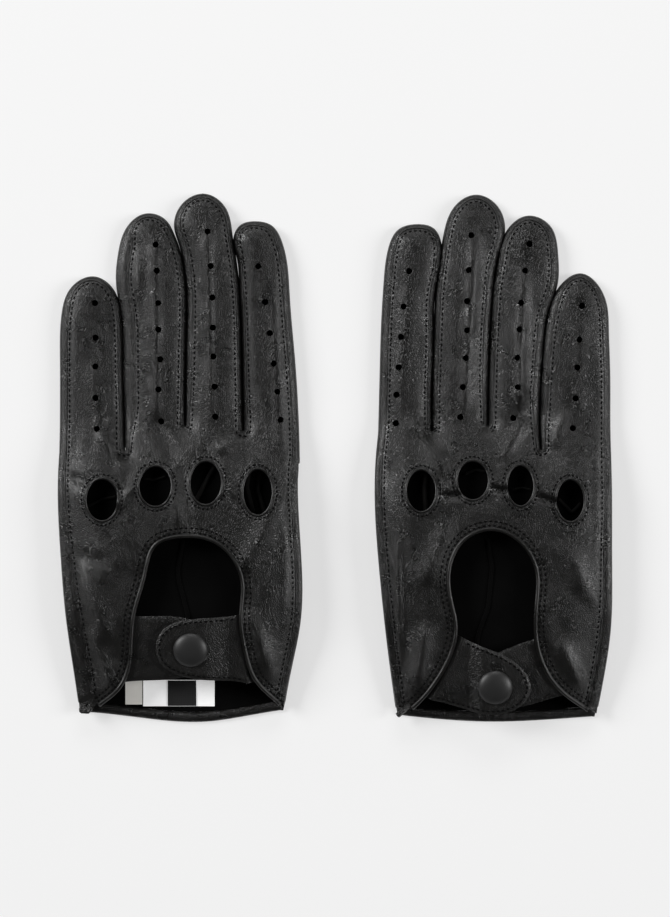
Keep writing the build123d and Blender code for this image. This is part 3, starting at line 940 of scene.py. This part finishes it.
# ----------------------------------------------------------------------
# Wrist hem and thumb.  The hem is the palm's edge turned in and sewn, wrinkled along its length.  The
# thumb is folded flat under the palm and is joined to the hand down the index finger side.
THUMB_MIDDLE = THUMB_TOP / 2 * MM
HEM_HALF = (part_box("left_wrist_hem")[1].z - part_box("left_wrist_hem")[0].z) / 2
HEM_CELL = 1.0 * MM
HEM_SHOULDER = 1.6 * MM
WRINKLE = (2.2 * MM, 9 * MM)      # the hem's wrinkles: across its length, and down it
WRINKLE_RISE = 0.3 * MM
THUMB_CELL = 2.0 * MM
THUMB_SHOULDER = 7 * MM
THUMB_EASE = 0.1 * MM             # the thumb is this much thinner, so that it clears the floor


def puffed(node, cell, middle, half, shoulder, wrinkle=lambda x, y: 0.0):
    """A closed, flattened form over a CAD node's plan."""
    upper = cad_face(node)
    border = Border([evenly(loop) for loop in outline_loops(upper)])
    gridded(upper, cell)
    lower = upper.copy()
    for bm, way in ((upper, 1), (lower, -1)):
        for v in bm.verts:
            t = min(1.0, border.distance(v.co.x, v.co.y)[0] / shoulder)
            crease = wrinkle(v.co.x, v.co.y) * t if way > 0 else 0.0
            v.co.z = middle + way * (half * math.sqrt(1 - (1 - t) ** 2) + crease)
    bm = joined([upper, lower])
    bmesh.ops.remove_doubles(bm, verts=bm.verts, dist=0.02 * MM)
    bmesh.ops.recalc_face_normals(bm, faces=bm.faces)
    return bm


def hem_wrinkle(x, y):
    return noise.noise(Vector((x / WRINKLE[0], y / WRINKLE[1], 0.5))) * WRINKLE_RISE


for side in gloves:
    bm = puffed(f"{side}_wrist_hem", HEM_CELL, HEM_HALF, HEM_HALF, HEM_SHOULDER, hem_wrinkle)
    hem = made(f"{side}_palm_hem", bm, [black_nappa], f"{side}_hand")
    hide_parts(f"{side}_wrist_hem")
    bm = puffed(f"{side}_thumb_palm", THUMB_CELL, THUMB_MIDDLE, THUMB_MIDDLE - THUMB_EASE, THUMB_SHOULDER)
    thumb = made(f"{side}_thumb", bm, [black_nappa])
    joint = next(j for j in frame["joints"] if j["name"] == f"{side}_thumb_open")
    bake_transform(thumb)
    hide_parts(f"{side}_thumb_back", f"{side}_thumb_palm")

# ----------------------------------------------------------------------
# Centre seam of the palm, seen through the keyhole: a narrow tuck, sewn from the flesh side.  Puckers
# of the palm leather show in the knuckle holes, in a lighter copy of the suede: painted light on them.
PALM_TUCKS = {
    "left": [(3.7, -36.0), (1.5, -50.0), (1.9, -54.5), (5.9, -69.6), (7.0, -80.0)],
    "right": [(3.7, -36.0), (1.5, -48.3), (3.2, -66.0), (7.7, -78.5), (9.0, -88.0)],
}
# Puckers of the palm leather seen in the knuckle holes, u and y in mm, and their radius
PUCKERS = {
    "left": [([(-40, -22), (-32, -18), (-26, -17)], 0.6), ([(-14, -9), (-9, -9.5), (-4, -8)], 0.5),
             ([(9, -20), (13, -12), (18, -3)], 1.0), ([(33, -4), (32, -13), (35, -25)], 1.2),
             ([(38, -6), (37, -14), (40, -24)], 0.9)],
    "right": [([(-38, -20), (-34, -24), (-28, -18)], 0.8), ([(-16, -14), (-12, -13), (-7, -14)], 0.5),
              ([(4, -6), (9, -5), (14, -7)], 0.6), ([(31, -4), (31.5, -14), (31, -26)], 1.1)],
}
PUCKER_RISE = 0.6 * MM
TUCK = 0.9 * MM
TUCK_RISE = 0.2 * MM
TUCK_SQUASH = 0.8
TUCK_STEP = 1.5 * MM
# The puckers' suede is lighter than the near-black flesh side only as painted light where they catch it.
lighter_suede_painted_light = suede("black suede flesh side, lighter as painted light", "1B1A19", "0D0D0D")
for side, glove in gloves.items():
    def on_plan(points):
        return [Vector((glove.middle + SIGN[side] * u * MM, y * MM, 0)) for u, y in points]

    bm = bmesh.new()
    line = evenly(on_plan(PALM_TUCKS[side]), TUCK_STEP)
    tube(bm, lifted(line, glove.inside, TUCK_RISE), TUCK, TUCK_SQUASH)
    made(f"{side}_palm_seam", bm, [black_suede_painted_shade], f"{side}_hand")
    bm = bmesh.new()
    for points, radius in PUCKERS[side]:
        line = evenly(on_plan(points), TUCK_STEP)
        tube(bm, lifted(line, glove.inside, PUCKER_RISE), radius * MM, TUCK_SQUASH)
    made(f"{side}_palm_puckers", bm, [lighter_suede_painted_light], f"{side}_hand")

# ----------------------------------------------------------------------
# Closure.  A strap from the little finger side carries the stud; a rounded tab from the index finger
# side carries the socket and cap, and is sewn round its edge.
SLOPE = math.atan2(HAND_TOP - CUFF_TOP, CREST_Y - CUFF_Y)
CLOSURE_LEATHER = 1.0 * MM
STRAP_CELL = 1.5 * MM
TAB_CELL = 1.0 * MM
# How far in from its edge each is rounded off, and by how much
STRAP_ROUND = (1.5 * MM, 0.4 * MM)
TAB_ROUND = (1.8 * MM, 0.5 * MM)
ROOT_DIP = (3 * MM, 1.3 * MM)     # the tab's root dips under the flap: over what length, and how far
ROOT_CLEAR = 0.4 * MM             # the tab's free edge starts this far from its root line
TAB_ROW = 1.5 * MM
ROW_START = 1 * MM
STRAP_TOP = -1.7 * MM
TAB_RISE = 1.6 * MM
TAB_SINK = 0.8 * MM              # the tab's root lies this far below the binding
TAB_CLIMB = {"left": (25.5, 12.0), "right": (13.5, 4.5)}      # where the tab climbs over the stud, u in mm
TUCKED = 5                                                    # rows of the tab's root under the flap


def closure_plane(y):
    return (HAND_TOP + (y / MM - CREST_Y) * math.tan(SLOPE)) * MM


def root_distance(joint, x, y):
    """How far a point lies to one side of the tab's root line; below nought on the other side."""
    px, py = joint["pos_m"][:2]
    ax, ay = joint["axis"][:2]
    return ((x - px) * ay - (y - py) * ax) / math.hypot(ax, ay)


for side, glove in gloves.items():
    bm = cad_face(f"{side}_stud_strap")
    border = Border([evenly(max(outline_loops(bm), key=len))])
    gridded(bm, STRAP_CELL)

    def strap_height(x, y):
        fall = 1 - min(1.0, border.distance(x, y)[0] / STRAP_ROUND[0])
        return closure_plane(y) + STRAP_TOP - STRAP_ROUND[1] * fall ** 2

    strap = made(f"{side}_strap", draped(bm, strap_height), [black_nappa, black_suede_painted_shade],
                 f"{side}_hand")
    thicken(strap, CLOSURE_LEATHER)
    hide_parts(f"{side}_stud_strap")

    joint = next(j for j in frame["joints"] if j["name"] == f"{side}_tab_unsnap")
    tab_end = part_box(f"{side}_snap_cap")[0]
    away = 1 if root_distance(joint, tab_end.x, tab_end.y) < 0 else -1
    bm = cad_face(f"{side}_snap_tab")
    loop = evenly(max(outline_loops(bm), key=len))
    free = [p for p in loop if away * root_distance(joint, p.x, p.y) < -ROOT_CLEAR]
    start = max(range(len(free)), key=lambda i: (free[i] - free[i - 1]).length)
    free = free[start:] + free[:start]
    border = Border([free])
    root = [e for e in bm.edges if len(e.link_faces) == 1
            and all(abs(root_distance(joint, v.co.x, v.co.y)) < TOUCHING for v in e.verts)]
    outward = Vector((joint["axis"][1], -joint["axis"][0], 0)).normalized() * away
    for k in range(TUCKED):
        grown = bmesh.ops.extrude_edge_only(bm, edges=root)["geom"]
        moved = [v for v in grown if isinstance(v, bmesh.types.BMVert)]
        bmesh.ops.translate(bm, verts=moved, vec=outward * MM)
        reached = (k + 1) * MM
        root = [e for e in grown if isinstance(e, bmesh.types.BMEdge)
                and all(abs(root_distance(joint, v.co.x, v.co.y) * away - reached) < TOUCHING
                        for v in e.verts)]
    gridded(bm, TAB_CELL)
    high, low = TAB_CLIMB[side]

    def tab_height(x, y):
        climb = smooth((high - glove.u(x) / MM) / (high - low)) * (TAB_RISE + TAB_SINK) - TAB_SINK
        fall = 1 - min(1.0, border.distance(x, y)[0] / TAB_ROUND[0])
        under = max(0.0, away * root_distance(joint, x, y))
        dip = ROOT_DIP[1] * smooth(under / ROOT_DIP[0])
        return closure_plane(y) + climb - TAB_ROUND[1] * fall ** 2 - dip

    tab = made(f"{side}_tab_leather", draped(bm, tab_height), [black_nappa, black_suede_painted_shade])
    thicken(tab, CLOSURE_LEATHER)
    sewing = bmesh.new()
    row = [p for p in inset_line(free, TAB_ROW) if away * root_distance(joint, p.x, p.y) < -ROW_START]
    stitches(sewing, lifted(row, tab_height, PROUD))
    sewing = made(f"{side}_tab_stitches", sewing, [black_thread])
    for piece in (tab, sewing):
        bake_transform(piece)
    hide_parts(f"{side}_snap_tab")

# ----------------------------------------------------------------------
# Snap.  A 24 ligne pressed brass cap, enamelled matt black, on the tab; its socket, stud and rivet are
# nickel plated brass, pressed through the tab and the strap.
# Radius and height of the domed cap, mm
CAP_PROFILE = [(0.0, 3.0), (2.0, 2.93), (4.0, 2.65), (5.6, 2.2), (6.8, 1.55), (7.4, 1.0), (7.6, 0.6),
               (7.45, 0.2), (6.9, 0.0)]
CAP_STEPS = 48


def worn_between(material, smoothest, roughest, length, detail):
    """Roughness that varies in patches about a length across."""
    return add_node(material, "MapRange", {"To Min": smoothest, "To Max": roughest},
                    Value=mottle(material, length, detail)).outputs["Result"]


def enamel():
    """Matt black enamel over brass: even, a little orange peel, glossier in patches."""
    material = new_material("matt black enamel on brass")
    peel = mottle(material, 0.6 * MM, 2.0)
    shader = add_node(material, "BsdfPrincipled", {"Base Color": linear("242424")},
                      Roughness=worn_between(material, 0.38, 0.52, 5 * MM, 4.0),
                      Normal=dented(material, peel, 0.02 * MM, 0.25))
    return finish_material(material, shader)


def nickel():
    """Nickel plate on pressed brass, finely brushed by tumbling."""
    material = new_material("nickel plate on brass")
    shader = add_node(material, "BsdfPrincipled", {"Base Color": linear("C9C5BE"), "Metallic": 1.0},
                      Roughness=worn_between(material, 0.22, 0.38, 0.5 * MM, 3.0))
    return finish_material(material, shader)


black_enamel = enamel()
nickel_plate = nickel()
for side in gloves:
    bm = bmesh.new()
    points = [bm.verts.new((r * MM, 0, z * MM)) for r, z in CAP_PROFILE]
    edges = [bm.edges.new(pair) for pair in zip(points, points[1:])]
    bmesh.ops.spin(bm, geom=points + edges, cent=(0, 0, 0), axis=(0, 0, 1), angle=2 * math.pi,
                   steps=CAP_STEPS)
    bmesh.ops.remove_doubles(bm, verts=bm.verts, dist=0.01 * MM)
    bmesh.ops.holes_fill(bm, edges=[e for e in bm.edges if len(e.link_faces) == 1], sides=0)
    bmesh.ops.recalc_face_normals(bm, faces=bm.faces)
    low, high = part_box(f"{side}_snap_cap")
    middle = (low + high) / 2
    place = Matrix.Translation((middle.x, middle.y, closure_plane(middle.y) + TAB_RISE))
    bmesh.ops.transform(bm, matrix=place @ Matrix.Rotation(SLOPE, 4, "X"), verts=bm.verts)
    cap = made(f"{side}_cap", bm, [black_enamel], f"{side}_tab")
    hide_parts(f"{side}_snap_cap")
    for part in ("snap_socket", "snap_stud", "stud_rivet"):
        node = frame["nodes"][f"{side}_{part}"]
        node.data.materials.clear()
        node.data.materials.append(nickel_plate)

# ----------------------------------------------------------------------
# Labels inside the left cuff: a white satin care label, a cream size label and a black hanging
# tape, caught in the hem.  All are blank.
WAVE_TURN = 6.28                  # the wave texture counts its scale in radians
LABEL_CELL = 1.5 * MM
LABEL_TAPE = 0.2 * MM
LABEL_WAVE = 3 * MM
LABEL_WAVE_RISE = 0.15


def woven(name, colour, dark, yarn, roughness, sheen, painted_glow=0.0):
    """Woven ribbon: warp and weft ribs at the yarn's spacing, slightly soiled, with a painted glow of the
    given strength.
    """
    material = new_material(name)
    warp, weft = [add_node(material, "TexWave",
                           {"Scale": 1 / yarn / WAVE_TURN, "bands_direction": direction},
                           Vector=place_on(material)).outputs["Fac"] for direction in "XY"]
    cloth = add_node(material, "Math", {"operation": "ADD"}, i0=warp, i1=weft)
    tone = add_node(material, "MixRGB", {"Color1": linear(dark), "Color2": linear(colour)},
                    Fac=mottle(material, 6 * MM, 4.0))
    # The emission is painted light: the labels glow brighter than the lamps make them.
    shader = add_node(material, "BsdfPrincipled",
                      {"Roughness": roughness, "Sheen Weight": sheen,
                       "Emission Color": linear("FFFFFF"), "Emission Strength": painted_glow},
                      Base_Color=tone.outputs["Color"],
                      Normal=dented(material, cloth.outputs[0], 0.05 * MM, 0.5))
    return finish_material(material, shader)


# Each label's piece, its material and slot, and its height above the palm, mm; the care and size labels
# carry a painted glow
LABELS = {
    "left_care_label": ("care_label",
                        woven("white satin ribbon", "FFFFFF", "F4F4F4", 0.25 * MM, 0.4, 0.2, 0.35),
                        "white_satin_label", 0.25),
    "left_size_label": ("size_label",
                        woven("cream woven tape", "ECE8DE", "DAD6CB", 0.4 * MM, 0.8, 0.1, 0.15),
                        "white_label_tape", 0.45),
    "left_hanging_tape": ("hanging_tape",
                          woven("black grosgrain tape", "101011", "070708", 0.5 * MM, 0.7, 0.1),
                          "black_tape", 0.65),
}
for node, (name, material, slot, rise) in LABELS.items():
    bm = gridded(cad_face(node), LABEL_CELL)
    palm_height = gloves["left"].inside
    draped(bm, lambda x, y: palm_height(x, y) + (rise + LABEL_WAVE_RISE * math.sin(x / LABEL_WAVE)) * MM)
    label = made(name, bm, [material], "left_hand")
    thicken(label, LABEL_TAPE)
    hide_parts(node)
    low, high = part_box(node)
